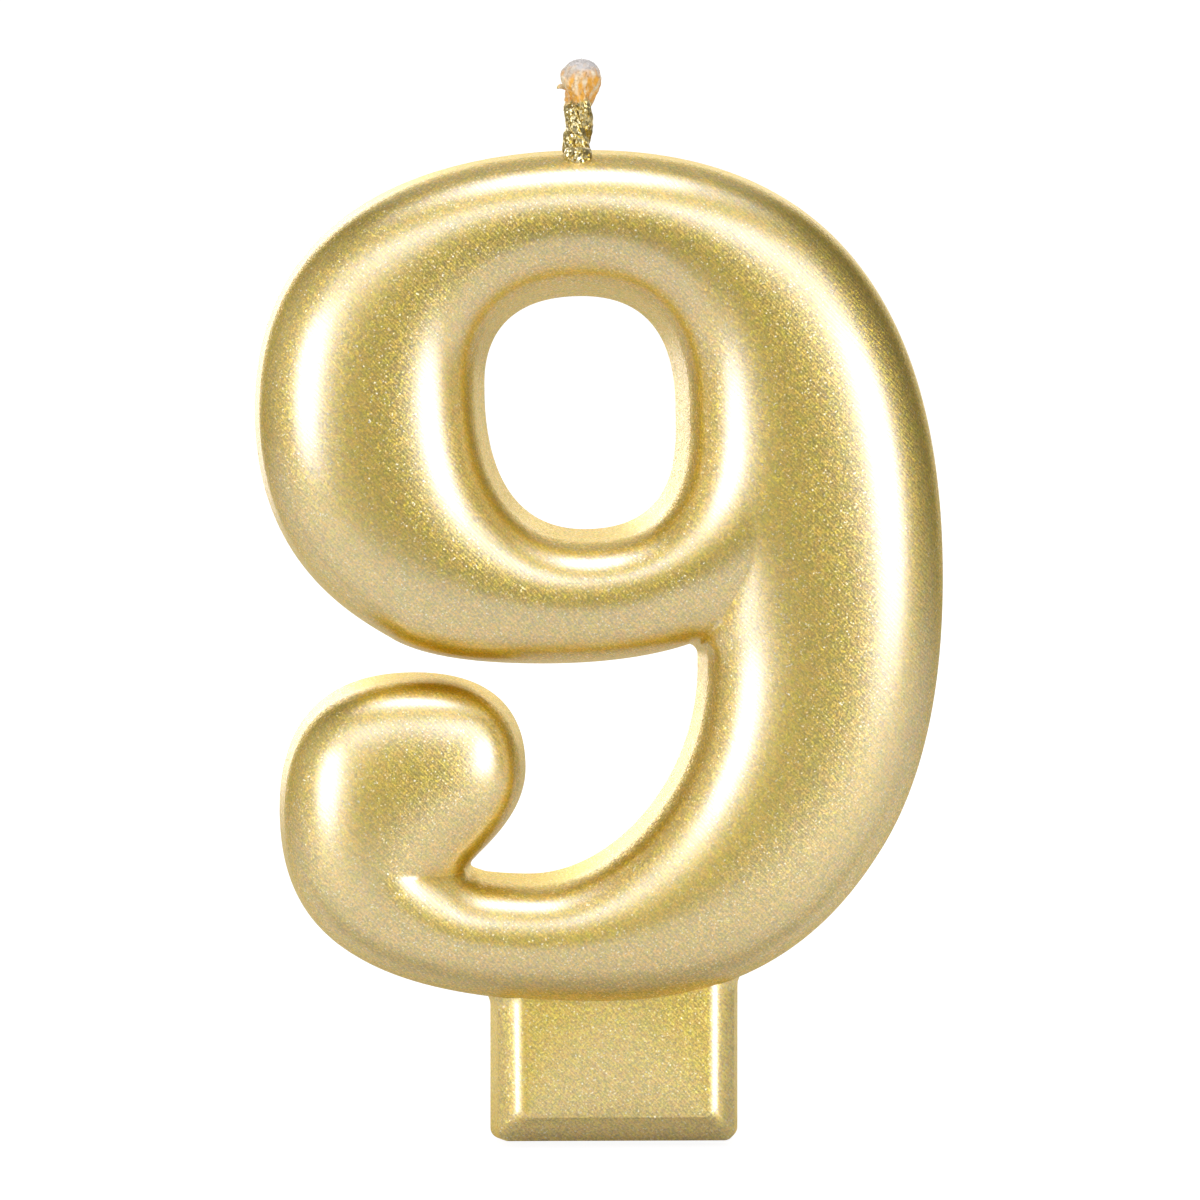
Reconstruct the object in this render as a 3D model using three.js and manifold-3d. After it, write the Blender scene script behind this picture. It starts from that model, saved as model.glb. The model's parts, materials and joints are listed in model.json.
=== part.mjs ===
// Number nine party candle: a solid wax numeral, cast back up in an open mould, on a flat tab that is
// pressed into the cake, with a twisted cotton wick in the top of its bowl.
// Millimetres, +Z up, the numeral faces -Y. The origin is the centre of the tab's bottom face.
import * as THREE from 'three';
import { mergeVertices } from 'three/addons/utils/BufferGeometryUtils.js';
import Module from 'manifold-3d';

// Numeral
const NUMERAL_HEIGHT = 71.1; // bottom of the tail to the top of the bowl
const WALL_DEPTH = 6.5; // flat back to the front edge of the side wall
const WALL_DRAFT = 5.0; // degrees, so that the casting leaves its mould back first
const COUNTER_DRAFT = 8.5; // more inside the counter, where the wax shrinks onto the mould
const STEP_RISE = 0.75; // small steep step that the mould leaves along the wall's front edge
const STEP_REACH = 0.22; // distance in which the step does most of its rise
const DOME_RISE = 5.0; // height that the domed face tends to, above the wall, far from any edge
const DOME_REACH = 4.1;
const SHOULDER_WIDTH = 2.1; // band inside the wall that is modelled as rings
const NOTCH_RADIUS = 0.65; // round in the two corners where strokes meet

// Tab
const TAB_WIDTH = 20.7;
const TAB_HEIGHT = 11.5; // bottom face to the lowest point of the numeral
const TAB_DEPTH = 8.0;
const TAB_CHAMFER_WIDTH = 1.7; // width of the sloping band round the tab's face
const TAB_CHAMFER_RISE = 1.3;
const TAB_CORNER_RADIUS = 0.9;
const TAB_FILLET = 0.8; // where the tab's sides run into the numeral
const TAB_ROOT = 5.0; // how far the tab reaches up inside the tail's stroke
const TAB_OFFSET = 1.2; // tab's centre line to the right of the middle of the numeral

// Wick
const WICK_RADIUS = 1.2;
const WICK_PLY_DEPTH = 0.22; // how deep the grooves between the three plies are
const WICK_LAY_LENGTH = 9.0; // length of one turn of the plies
const WICK_STANDING = 7.7; // free length above the numeral
const WICK_BURIED = 9.5; // length inside the wax
const WICK_TIP_RADIUS = 1.7; // the cut end is frayed wider than the wick
const WICK_LEAN_WIDTH = 0.35; // the free end leans this far to the right
const WICK_FROM_BACK = 5.4; // wick's centre line to the flat back
const WICK_OFFSET = -1.8; // wick's centre line from the middle of the numeral
const COLLAR_HEIGHT = 0.7; // wax drawn up round the wick's foot
const COLLAR_WIDTH = 0.7;
const COLLAR_ROOT = 1.5; // how far the collar reaches down into the wax
const HOLE_OVERRUN = 5.0; // how far the body that cuts the wick's hole stands out of the wax
const CUT_OVERLAP = 1.0; // how far other joining and trimming bodies reach past each other
const MERGE_DISTANCE = 0.02; // points of an edge that are nearer than this become one
const CROWN_LIFT = 0.02; // keeps the domed face clear of the plateau under it
const CLEARANCE = 0.3; // between the wick and the hole that holds it

// The numeral is drawn like a letter in a typeface: 1000 units high, x from the middle of its width,
// y from its lowest point. Each row is a cubic curve: the two handles, then the point it ends at.
const GLYPH_START = [106, 421];
const GLYPH_OUTER = [
  [[56, 404], [-6, 398], [-65, 398]],
  [[-123, 398], [-197, 402], [-241, 426]],
  [[-283, 451], [-404, 512], [-404, 694]],
  [[-404, 945], [-175, 1000], [-12, 1000]],
  [[283, 1000], [404, 802], [404, 497]],
  [[404, 355], [376, 251], [331, 180]],
  [[275, 90], [184, 0], [0, 0]],
  [[-314, 0], [-376, 102], [-376, 229]],
  [[-376, 299], [-350, 388], [-217, 388]],
  [[-145, 388], [-87, 359], [-87, 276]],
  [[-87, 236], [-112, 204], [-141, 176]],
];
const GLYPH_NOTCH_LOW = [-155, 161];
const GLYPH_INNER_START = [-134, 154];
const GLYPH_INNER = [
  [[-117, 152], [-100, 151], [-82, 151]],
  [[16, 151], [115, 263], [115, 393]],
];
const GLYPH_NOTCH_HIGH = [115, 417];
const COUNTER_START = [-21, 829];
const GLYPH_COUNTER = [
  [[-142, 829], [-135, 736], [-135, 720]],
  [[-135, 658], [-119, 556], [-18, 556]],
  [[101, 556], [89, 661], [89, 696]],
  [[89, 774], [61, 829], [-21, 829]],
];
// In each of the two notches both strokes' edges carry on into the wax and fade out, which leaves a crease
// between the strokes. Each row is a cubic curve from the notch: its start, two handles and end.
const CARRIED_ON = [
  [
    [[115, 417], [119, 450], [126, 486], [143, 547]],
    [[106, 421], [150, 437], [198, 476], [250, 534]],
  ],
  [
    [[-150, 166], [-168, 150], [-190, 138], [-225, 135]],
    [[-148, 158], [-170, 162], [-195, 172], [-220, 195]],
  ],
];

const wasm = await Module();
wasm.setup();

const UNIT = NUMERAL_HEIGHT / 1000;
const WALL_INSET = WALL_DEPTH * Math.tan(THREE.MathUtils.degToRad(WALL_DRAFT));
const COUNTER_INSET = WALL_DEPTH * Math.tan(THREE.MathUtils.degToRad(COUNTER_DRAFT));
const PLATEAU = faceHeight(SHOULDER_WIDTH);
const CURVE_STEPS = 16;
const GRID_SPACING = 1.0; // spacing of the facets on the domed face
const FADING_EDGES = CARRIED_ON.map((pair) => pair.map(fadingEdge));

// Each closed body is a BufferGeometry; these two turn it into a solid for joining and cutting, and back.
function toSolid(geometry) {
  const plain = geometry.clone();
  plain.deleteAttribute('normal');
  plain.deleteAttribute('uv');
  const merged = mergeVertices(plain, 1e-5);
  return new wasm.Manifold(new wasm.Mesh({
    numProp: 3,
    vertProperties: new Float32Array(merged.attributes.position.array),
    triVerts: new Uint32Array(merged.index.array),
  }));
}

function toGeometry(solid) {
  const mesh = solid.getMesh();
  const geometry = new THREE.BufferGeometry();
  geometry.setAttribute('position', new THREE.BufferAttribute(mesh.vertProperties, 3));
  geometry.setIndex(new THREE.BufferAttribute(mesh.triVerts, 1));
  geometry.computeVertexNormals();
  return geometry;
}

// Points along a chain of cubic curves, in millimetres, without the last point of the chain.
function chainPoints(start, rows) {
  const place = ([x, y]) => new THREE.Vector2(x * UNIT, y * UNIT);
  const points = [];
  let from = place(start);
  for (const [a, b, end] of rows) {
    const to = place(end);
    const curve = new THREE.CubicBezierCurve(from, place(a), place(b), to);
    points.push(...curve.getSpacedPoints(CURVE_STEPS).slice(0, -1));
    from = to;
  }
  return { points, end: from };
}

// The points of one carried-on edge, with the share of its pull that each of its straight pieces keeps.
function fadingEdge(row) {
  const curve = new THREE.CubicBezierCurve(...row.map(([x, y]) => new THREE.Vector2(x * UNIT, y * UNIT)));
  const points = curve.getPoints(CURVE_STEPS);
  const shares = points.slice(1).map((_, i) => 1 - (i / (CURVE_STEPS - 1)) ** 2);
  return { points, shares };
}

// A small round joins the end of one chain to the start of the next by way of the notch's corner.
function notchPoints(from, corner, to) {
  const tip = new THREE.Vector2(corner[0] * UNIT, corner[1] * UNIT);
  const pull = (p) => tip.clone().add(p.clone().sub(tip).setLength(Math.min(NOTCH_RADIUS, p.distanceTo(tip))));
  const start = pull(from);
  const finish = pull(to);
  const round = new THREE.QuadraticBezierCurve(start, tip, finish);
  return round.getPoints(5);
}

// The numeral's outer edge at its flat back, counter-clockwise seen from the front.
function outerEdge() {
  const outer = chainPoints(GLYPH_START, GLYPH_OUTER);
  const inner = chainPoints(GLYPH_INNER_START, GLYPH_INNER);
  const low = notchPoints(outer.end, GLYPH_NOTCH_LOW, inner.points[0]);
  const high = notchPoints(inner.end, GLYPH_NOTCH_HIGH, outer.points[0]);
  const points = [...outer.points, outer.end, ...low, ...inner.points, inner.end, ...high];
  return thin(points).reverse();
}

// The counter's edge at the flat back, clockwise, so that wax is on the left of both edges.
function counterEdge() {
  return thin(chainPoints(COUNTER_START, GLYPH_COUNTER).points).reverse();
}

// Drops points that fall on their neighbour.
function thin(points) {
  return points.filter((p, i) => p.distanceTo(points[(i + 1) % points.length]) > MERGE_DISTANCE);
}

// Moves a closed edge to its left, into the wax, by the same distance everywhere.
function inset(points, distance) {
  return points.map((p, i) => {
    const before = points[(i + points.length - 1) % points.length];
    const after = points[(i + 1) % points.length];
    const a = p.clone().sub(before).normalize();
    const b = after.clone().sub(p).normalize();
    const along = a.add(b).normalize();
    return new THREE.Vector2(p.x - along.y * distance, p.y + along.x * distance);
  });
}

// A closed body from level rings: each level is a height and its edges, the outer edge first, then holes.
function stack(levels) {
  const positions = [];
  const index = [];
  const firsts = [];
  for (const { height, edges } of levels) {
    firsts.push(edges.map((edge) => {
      const first = positions.length / 3;
      edge.forEach((p) => positions.push(p.x, p.y, height));
      return first;
    }));
  }
  const edges = levels[0].edges;
  for (let level = 0; level + 1 < levels.length; level += 1) {
    edges.forEach((edge, e) => {
      const count = edge.length;
      for (let i = 0; i < count; i += 1) {
        const j = (i + 1) % count;
        const low = firsts[level][e];
        const high = firsts[level + 1][e];
        index.push(low + i, low + j, high + j, low + i, high + j, high + i);
      }
    });
  }
  addCap(levels[0], firsts[0], index, true);
  addCap(levels.at(-1), firsts.at(-1), index, false);
  const geometry = new THREE.BufferGeometry();
  geometry.setAttribute('position', new THREE.Float32BufferAttribute(positions, 3));
  geometry.setIndex(index);
  return geometry;
}

function addCap(level, firsts, index, under) {
  const [outer, ...holes] = level.edges;
  const numbers = level.edges.flatMap((edge, e) => edge.map((_, i) => firsts[e] + i));
  for (const [a, b, c] of THREE.ShapeUtils.triangulateShape(outer, holes)) {
    const [p, q, r] = [numbers[a], numbers[b], numbers[c]];
    index.push(...(under ? [p, r, q] : [p, q, r]));
  }
}

// Height of the face over the flat back, at a distance from the wall's front edge: two curves that rise
// and level out, a quick one for the step and a broad one for the shoulder and dome.
function faceHeight(distance) {
  const step = STEP_RISE * (1 - Math.exp(-distance / STEP_REACH));
  const dome = DOME_RISE * (1 - Math.exp(-distance / DOME_REACH));
  return WALL_DEPTH + step + dome;
}

// Every point of the edges pulls with the inverse cube of its distance. Near one edge this gives the distance
// to it, and it levels out between two, so no ridge runs down the middle of a stroke.
function smoothDistance(x, y, edges) {
  let pull = 0;
  for (const edge of edges) {
    for (let i = 0; i < edge.length; i += 1) {
      pull += segmentPull(x, y, edge[i], edge[(i + 1) % edge.length]);
    }
  }
  return 1 / Math.sqrt((pull + creasePull(x, y)) / 2);
}

// Of a notch's two carried-on edges the weaker pull counts, and where they are equal there is a crease.
function creasePull(x, y) {
  const pull = ({ points, shares }) => shares.reduce(
    (sum, share, i) => sum + share * segmentPull(x, y, points[i], points[i + 1]), 0);
  return FADING_EDGES.reduce((sum, pair) => sum + Math.min(...pair.map(pull)), 0);
}

// The inverse cube of the distance, summed along one straight piece of edge.
function segmentPull(x, y, a, b) {
  const length = a.distanceTo(b);
  const ux = (b.x - a.x) / length;
  const uy = (b.y - a.y) / length;
  const near = (x - a.x) * ux + (y - a.y) * uy;
  const offset = Math.max(1e-3, Math.abs((x - a.x) * uy - (y - a.y) * ux));
  const ahead = length - near;
  const far = ahead / Math.hypot(ahead, offset) + near / Math.hypot(near, offset);
  return far / (offset * offset);
}

// The domed face: a fine block whose top follows the dome, trimmed to the shoulder's inner edge.
function crown(wallFront, plateau) {
  const box = new THREE.Box2().setFromPoints(plateau[0]);
  const size = box.getSize(new THREE.Vector2());
  const centre = box.getCenter(new THREE.Vector2());
  const [columns, rows] = [Math.ceil(size.x / GRID_SPACING), Math.ceil(size.y / GRID_SPACING)];
  const block = new THREE.BoxGeometry(size.x + 2 * GRID_SPACING, size.y + 2 * GRID_SPACING, 1, columns, rows, 1);
  const inside = insideTest(plateau);
  const place = block.attributes.position;
  for (let i = 0; i < place.count; i += 1) {
    const [x, y] = [place.getX(i) + centre.x, place.getY(i) + centre.y];
    const dome = inside(x, y) ? faceHeight(smoothDistance(x, y, wallFront)) : PLATEAU;
    const top = place.getZ(i) > 0;
    place.setXYZ(i, x, y, top ? Math.max(PLATEAU, dome) + CROWN_LIFT : PLATEAU - CUT_OVERLAP);
  }
  const trim = stack([
    { height: PLATEAU - CUT_OVERLAP / 2, edges: plateau },
    { height: WALL_DEPTH + STEP_RISE + DOME_RISE + CUT_OVERLAP, edges: plateau },
  ]);
  return toSolid(block).intersect(toSolid(trim));
}

function insideTest(edges) {
  return (x, y) => {
    let inside = false;
    for (const edge of edges) {
      for (let i = 0, j = edge.length - 1; i < edge.length; j = i, i += 1) {
        const [a, b] = [edge[i], edge[j]];
        if ((a.y > y) !== (b.y > y) && x < ((b.x - a.x) * (y - a.y)) / (b.y - a.y) + a.x) inside = !inside;
      }
    }
    return inside;
  };
}

// The numeral lies on its back here: x to the right, y up the numeral, height towards the front.
function numeral() {
  const edges = [outerEdge(), counterEdge()];
  const at = (distance) => [inset(edges[0], WALL_INSET + distance), inset(edges[1], COUNTER_INSET + distance)];
  const wallFront = at(0);
  const rings = [0.06, 0.2, 0.45, 0.75, 1].map((share) => share * SHOULDER_WIDTH);
  const shoulder = rings.map((d) => ({ height: faceHeight(d), edges: at(d) }));
  const base = stack([{ height: 0, edges }, { height: WALL_DEPTH, edges: wallFront }, ...shoulder]);
  return toSolid(base).add(crown(wallFront, shoulder.at(-1).edges));
}

// Height of the numeral's underside above its lowest point, near the tab's side.
function underside(x) {
  const low = outerEdge().filter((p) => p.y < NUMERAL_HEIGHT * 0.12);
  low.sort((a, b) => Math.abs(a.x - x) - Math.abs(b.x - x));
  return low[0].y;
}

// The tab, in the numeral's own coordinates: its foot is TAB_HEIGHT below the numeral's lowest point.
function tab() {
  const half = TAB_WIDTH / 2;
  const foot = -TAB_HEIGHT;
  const right = underside(TAB_OFFSET + half);
  const left = underside(TAB_OFFSET - half);
  const shape = new THREE.Path();
  shape.moveTo(-half + TAB_CORNER_RADIUS, foot);
  shape.lineTo(half - TAB_CORNER_RADIUS, foot);
  shape.absarc(half - TAB_CORNER_RADIUS, foot + TAB_CORNER_RADIUS, TAB_CORNER_RADIUS, -Math.PI / 2, 0, false);
  shape.lineTo(half, right - TAB_FILLET);
  shape.quadraticCurveTo(half, right, half + TAB_FILLET, right + TAB_FILLET);
  shape.lineTo(half - WALL_INSET, TAB_ROOT);
  shape.lineTo(-half + WALL_INSET, TAB_ROOT);
  shape.lineTo(-half - TAB_FILLET, left + TAB_FILLET);
  shape.quadraticCurveTo(-half, left, -half, left - TAB_FILLET);
  shape.lineTo(-half, foot + TAB_CORNER_RADIUS);
  shape.absarc(-half + TAB_CORNER_RADIUS, foot + TAB_CORNER_RADIUS, TAB_CORNER_RADIUS, Math.PI, 1.5 * Math.PI);
  const back = thin(shape.getPoints(6)).map((p) => new THREE.Vector2(p.x + TAB_OFFSET, p.y));
  const wallTop = TAB_DEPTH - TAB_CHAMFER_RISE;
  const wallInset = wallTop * Math.tan(THREE.MathUtils.degToRad(WALL_DRAFT));
  return toSolid(stack([
    { height: 0, edges: [back] },
    { height: wallTop, edges: [drawnIn(back, wallInset, 0)] },
    { height: TAB_DEPTH, edges: [drawnIn(back, wallInset + TAB_CHAMFER_WIDTH, TAB_CHAMFER_WIDTH)] },
  ]));
}

// Draws the tab's two sides and its foot in, and leaves its root in the stroke where it is. The foot's own
// wall has no draft, so that the candle stands on it.
function drawnIn(points, sides, foot) {
  const half = TAB_WIDTH / 2;
  const reach = TAB_ROOT + TAB_HEIGHT;
  return points.map((p) => new THREE.Vector2(
    TAB_OFFSET + (p.x - TAB_OFFSET) * (1 - sides / half),
    p.y + foot * (1 - (p.y + TAB_HEIGHT) / reach),
  ));
}

// Height of the numeral's top edge at the wick.
const topOfBowl = () => Math.max(...outerEdge().map((p) => p.y));

// A round pin along y, in the coordinates of the lying numeral, for the wick's hole and its collar.
function pin(profile) {
  const turned = new THREE.LatheGeometry(profile.map(([r, y]) => new THREE.Vector2(r, y)), 24);
  return toSolid(turned.translate(WICK_OFFSET, 0, WICK_FROM_BACK));
}

function collar() {
  const top = topOfBowl() - WICK_FROM_BACK * Math.tan(THREE.MathUtils.degToRad(WALL_DRAFT));
  const inner = WICK_RADIUS + CLEARANCE;
  const outer = inner + COLLAR_WIDTH;
  return pin([[0, top - COLLAR_ROOT], [outer, top - COLLAR_ROOT], [outer, top],
    [inner + COLLAR_WIDTH * 0.35, top + COLLAR_HEIGHT * 0.45], [inner + COLLAR_WIDTH * 0.14, top + COLLAR_HEIGHT],
    [0, top + COLLAR_HEIGHT]]);
}

function wickHole() {
  const radius = WICK_RADIUS + CLEARANCE;
  const top = topOfBowl();
  return pin([[0, top - WICK_BURIED - CLEARANCE], [radius, top - WICK_BURIED - CLEARANCE],
    [radius, top + HOLE_OVERRUN], [0, top + HOLE_OVERRUN]]);
}

function waxNumeral() {
  const body = numeral().add(tab()).add(collar()).subtract(wickHole());
  const geometry = toGeometry(body);
  geometry.translate(-TAB_OFFSET, TAB_HEIGHT, -TAB_DEPTH / 2);
  return geometry;
}

// The wick is one twist of three plies: a three-lobed section that turns as it climbs, with a frayed end.
function wick() {
  const sides = 24;
  const steps = 40;
  const length = WICK_BURIED + WICK_STANDING;
  const positions = [];
  const index = [];
  for (let s = 0; s <= steps; s += 1) {
    const t = s / steps;
    const height = t * length;
    const free = Math.max(0, height - WICK_BURIED) / WICK_STANDING;
    const fray = Math.exp(-(((free - 0.84) / 0.16) ** 2));
    const close = free > 0.9 ? Math.sqrt(Math.max(0, 1 - ((free - 0.9) / 0.104) ** 2)) : 1;
    const girth = (WICK_RADIUS + (WICK_TIP_RADIUS - WICK_RADIUS) * fray) * (0.35 + 0.65 * close);
    const turn = (height / WICK_LAY_LENGTH) * 2 * Math.PI;
    const middle = WICK_LEAN_WIDTH * free * free * (3 - 2 * free);
    for (let i = 0; i < sides; i += 1) {
      const angle = (i / sides) * 2 * Math.PI;
      const groove = WICK_PLY_DEPTH * (0.5 - 0.5 * Math.cos(3 * (angle - turn)));
      const r = girth - groove;
      positions.push(middle + r * Math.cos(angle), height, -r * Math.sin(angle));
    }
  }
  for (let s = 0; s < steps; s += 1) {
    for (let i = 0; i < sides; i += 1) {
      const [a, b] = [s * sides + i, s * sides + ((i + 1) % sides)];
      index.push(a, b, b + sides, a, b + sides, a + sides);
    }
  }
  const ring = (s) => Array.from({ length: sides }, (_, i) => s * sides + i);
  for (let i = 1; i + 1 < sides; i += 1) {
    index.push(ring(0)[0], ring(0)[i + 1], ring(0)[i]);
    index.push(ring(steps)[0], ring(steps)[i], ring(steps)[i + 1]);
  }
  const geometry = new THREE.BufferGeometry();
  geometry.setAttribute('position', new THREE.Float32BufferAttribute(positions, 3));
  geometry.setIndex(index);
  geometry.computeVertexNormals();
  geometry.translate(WICK_OFFSET - TAB_OFFSET, topOfBowl() - WICK_BURIED + TAB_HEIGHT, WICK_FROM_BACK - TAB_DEPTH / 2);
  return geometry;
}

const goldWax = new THREE.MeshStandardMaterial({ color: 0xc9b25f, roughness: 0.35, metalness: 0.85 });
const cotton = new THREE.MeshStandardMaterial({ color: 0xe9d3a6, roughness: 0.85, metalness: 0 });

const candle = new THREE.Group();
const standing = new THREE.Group();
standing.rotation.x = Math.PI / 2; // stands the lying numeral on its tab
const wax = new THREE.Mesh(waxNumeral(), goldWax);
wax.name = 'wax_numeral';
const wickMesh = new THREE.Mesh(wick(), cotton);
wickMesh.name = 'wick';
standing.add(wax, wickMesh);
candle.add(standing);

export default candle;
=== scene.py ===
# %% [markdown]
# # A gold number candle
#
# The candle is a wax numeral nine on a flat tab, with a cotton wick. It was cast back up in an open mould, so its
# back is flat, its side walls lean in a little towards the front, and its face is domed.
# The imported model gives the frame: its box, its one body and its two nodes. The pieces made here stand for them.

# %% Load the frame
import json
import math

import bpy
import numpy as np
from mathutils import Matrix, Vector
from mathutils.geometry import delaunay_2d_cdt

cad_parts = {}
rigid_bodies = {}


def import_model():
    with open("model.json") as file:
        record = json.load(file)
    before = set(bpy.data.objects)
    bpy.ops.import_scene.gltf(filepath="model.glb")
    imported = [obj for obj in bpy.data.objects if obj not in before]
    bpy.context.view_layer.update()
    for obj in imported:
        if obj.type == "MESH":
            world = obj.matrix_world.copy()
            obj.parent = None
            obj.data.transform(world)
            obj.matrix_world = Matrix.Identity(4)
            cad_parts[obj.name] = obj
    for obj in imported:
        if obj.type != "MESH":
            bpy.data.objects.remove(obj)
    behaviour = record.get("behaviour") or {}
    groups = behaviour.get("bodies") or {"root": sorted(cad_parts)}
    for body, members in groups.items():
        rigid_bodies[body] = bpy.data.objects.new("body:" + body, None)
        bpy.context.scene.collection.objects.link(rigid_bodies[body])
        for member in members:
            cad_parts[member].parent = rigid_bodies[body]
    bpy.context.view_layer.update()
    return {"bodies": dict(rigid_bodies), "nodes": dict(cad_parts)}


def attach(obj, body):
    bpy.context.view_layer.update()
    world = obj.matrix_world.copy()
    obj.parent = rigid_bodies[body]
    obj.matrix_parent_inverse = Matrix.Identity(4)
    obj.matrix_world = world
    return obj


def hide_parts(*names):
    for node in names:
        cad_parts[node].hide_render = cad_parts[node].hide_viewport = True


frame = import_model()
mm = 0.001

# %% [markdown]
# ## Sizes
#
# The sizes are millimetres. The outline, the back and the tab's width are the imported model's. The wall is a little
# lower than there and the step at the parting edge wider, as the photograph shows them. The numeral is worked out
# lying on its back, as it lies in its mould: x to the right, y up the numeral, and height from the flat back towards
# the front. A last step stands it up.

# %% Sizes of the casting
numeral_height = 71.1
unit = numeral_height / 1000
wall_depth = 6.15
draft, counter_draft = math.radians(5.0), math.radians(8.5)
wall_inset = wall_depth * math.tan(draft)
counter_inset = wall_depth * math.tan(counter_draft)
tab_width, tab_height, tab_depth = 20.7, 11.5, 8.0
tab_offset = 1.2
tab_root = 4.2
wick_offset, wick_from_back = -1.8, 5.4


def stand_up(flat):
    """Turns points of the lying numeral (x, y, height) into the frame: x less the tab's offset, height towards the
    front, which is -Y, measured from the flat back, and y up from the tab's foot."""
    x, y, height = flat[..., 0], flat[..., 1], flat[..., 2]
    return np.stack([x - tab_offset, tab_depth / 2 - height, y + tab_height], axis=-1) * mm


# %% [markdown]
# ## One way into the mesh
#
# Every shape below ends as two arrays, points and faces. This helper puts them into a mesh, marks edges sharper
# than an angle, and lets the piece ride on the candle's only body.

# %% Mesh helper
body = next(iter(frame["bodies"]))


def piece(name, points, faces, sharp=40.0):
    """A mesh from points in metres and faces, smooth except where two faces meet at more than sharp degrees."""
    mesh = bpy.data.meshes.new(name)
    mesh.from_pydata(points.reshape(-1, 3), [], [tuple(face) for face in faces])
    mesh.shade_smooth()
    mesh.set_sharp_from_angle(angle=math.radians(sharp))
    mesh.validate()
    obj = bpy.data.objects.new(name, mesh)
    bpy.context.scene.collection.objects.link(obj)
    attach(obj, body)
    return obj


def ring_quads(rings, count, first=0):
    """Quads between neighbouring closed rings of count points each: corner (k, i), (k, i+1), (k+1, i+1), (k+1, i)."""
    k, i = np.meshgrid(np.arange(rings - 1), np.arange(count), indexing="ij")
    j = (i + 1) % count
    return first + np.stack([k * count + i, k * count + j, (k + 1) * count + j, (k + 1) * count + i], -1).reshape(-1, 4)


print("body:", body, " nodes:", list(frame["nodes"]))

# %% [markdown]
# ## The numeral's outline
#
# A numeral is drawn as letters in a typeface are: a few points on a grid 1000 units high, joined by cubic curves.
# Tracing hundreds of points would copy every wobble and could not be changed afterwards. Each row below holds the
# two handles of a curve and the point that it ends at.

# %% Outline in units of the drawing
outer_start = (106, 421)
outer_rows = [
    ((56, 404), (-6, 398), (-65, 398)), ((-123, 398), (-197, 402), (-241, 426)),
    ((-283, 451), (-404, 512), (-404, 694)), ((-404, 945), (-175, 1000), (-12, 1000)),
    ((283, 1000), (404, 802), (404, 497)), ((404, 355), (376, 251), (331, 180)),
    ((275, 90), (184, 0), (0, 0)), ((-314, 0), (-376, 102), (-376, 229)),
    ((-376, 299), (-350, 388), (-217, 388)), ((-145, 388), (-87, 359), (-87, 276)),
    ((-87, 236), (-112, 204), (-141, 176)),
]
notch_low, inner_start = (-155, 161), (-134, 154)
inner_rows = [((-117, 152), (-100, 151), (-82, 151)), ((16, 151), (115, 263), (115, 393))]
notch_high = (115, 417)
counter_start = (-21, 829)
counter_rows = [
    ((-142, 829), (-135, 736), (-135, 720)), ((-135, 658), (-119, 556), (-18, 556)),
    ((101, 556), (89, 661), (89, 696)), ((89, 774), (61, 829), (-21, 829)),
]
notch_radius = 0.65


def cubic(a, b, c, d, count=240):
    """Cubic curve: each point is the four control points weighted by (1-t)^3, 3(1-t)^2 t, 3(1-t) t^2 and t^3."""
    t = np.linspace(0, 1, count, endpoint=False)[:, None]
    a, b, c, d = (np.array(p, float) * unit for p in (a, b, c, d))
    return (1 - t) ** 3 * a + 3 * (1 - t) ** 2 * t * b + 3 * (1 - t) * t * t * c + t ** 3 * d


def chain(start, rows):
    """The cubic curves of rows, end to end."""
    starts = [start] + [row[2] for row in rows[:-1]]
    return np.concatenate([cubic(a, *row) for a, row in zip(starts, rows)] + [np.array([rows[-1][2]]) * unit])


def rounded_notch(before, corner, after, count=60):
    """A corner cut round: a quadratic curve from one side to the other, each end notch_radius from the corner."""
    tip = np.array(corner, float) * unit
    start, end = (tip + (p - tip) / np.linalg.norm(p - tip) * notch_radius for p in (before, after))
    t = np.linspace(0, 1, count)[:, None]
    return (1 - t) ** 2 * start + 2 * (1 - t) * t * tip + t * t * end


def even_steps(points, spacing, turning=3.0):
    """Closed curve resampled so that each step has the same length plus turning times its change of direction, which
    puts more points where the curve bends tightly and keeps them evenly spread when the curve is moved inwards."""
    step = np.roll(points, -1, 0) - points
    keep = np.hypot(*step.T) > 1e-6
    points, step = points[keep], (np.roll(points[keep], -1, 0) - points[keep])
    angle = np.unwrap(np.arctan2(step[:, 1], step[:, 0]))
    bend = np.abs(np.diff(angle, append=angle[0] + round((angle[-1] - angle[0]) / (2 * np.pi)) * 2 * np.pi))
    along = np.concatenate([[0], np.cumsum(np.hypot(*step.T) + turning * bend)])
    count = int(along[-1] / spacing)
    at = np.linspace(0, along[-1], count, endpoint=False)
    closed = np.vstack([points, points[:1]])
    return np.stack([np.interp(at, along, closed[:, k]) for k in (0, 1)], -1)


# %% Sampled edges at the flat back
outer_curve = chain(outer_start, outer_rows)
inner_curve = chain(inner_start, inner_rows)
outer_edge = even_steps(np.concatenate([
    outer_curve, rounded_notch(outer_curve[-1], notch_low, inner_curve[0]),
    inner_curve, rounded_notch(inner_curve[-1], notch_high, outer_curve[0])]), 0.26)[::-1]
counter_edge = even_steps(chain(counter_start, counter_rows), 0.26)[::-1]
print("outline points:", len(outer_edge), "round the numeral,", len(counter_edge), "round the counter")

# %% [markdown]
# ## From outline to relief
#
# Moving each point of the outline inwards along its normal gives the rings of the side wall and of the rounded
# shoulder. The dome needs a height for every point of the face. The distance to the nearest edge would leave a
# ridge along the middle of each stroke, so every bit of the edge pulls with the inverse cube of its distance
# instead: near an edge that gives the distance itself, and mid-stroke it levels out smoothly.


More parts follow.
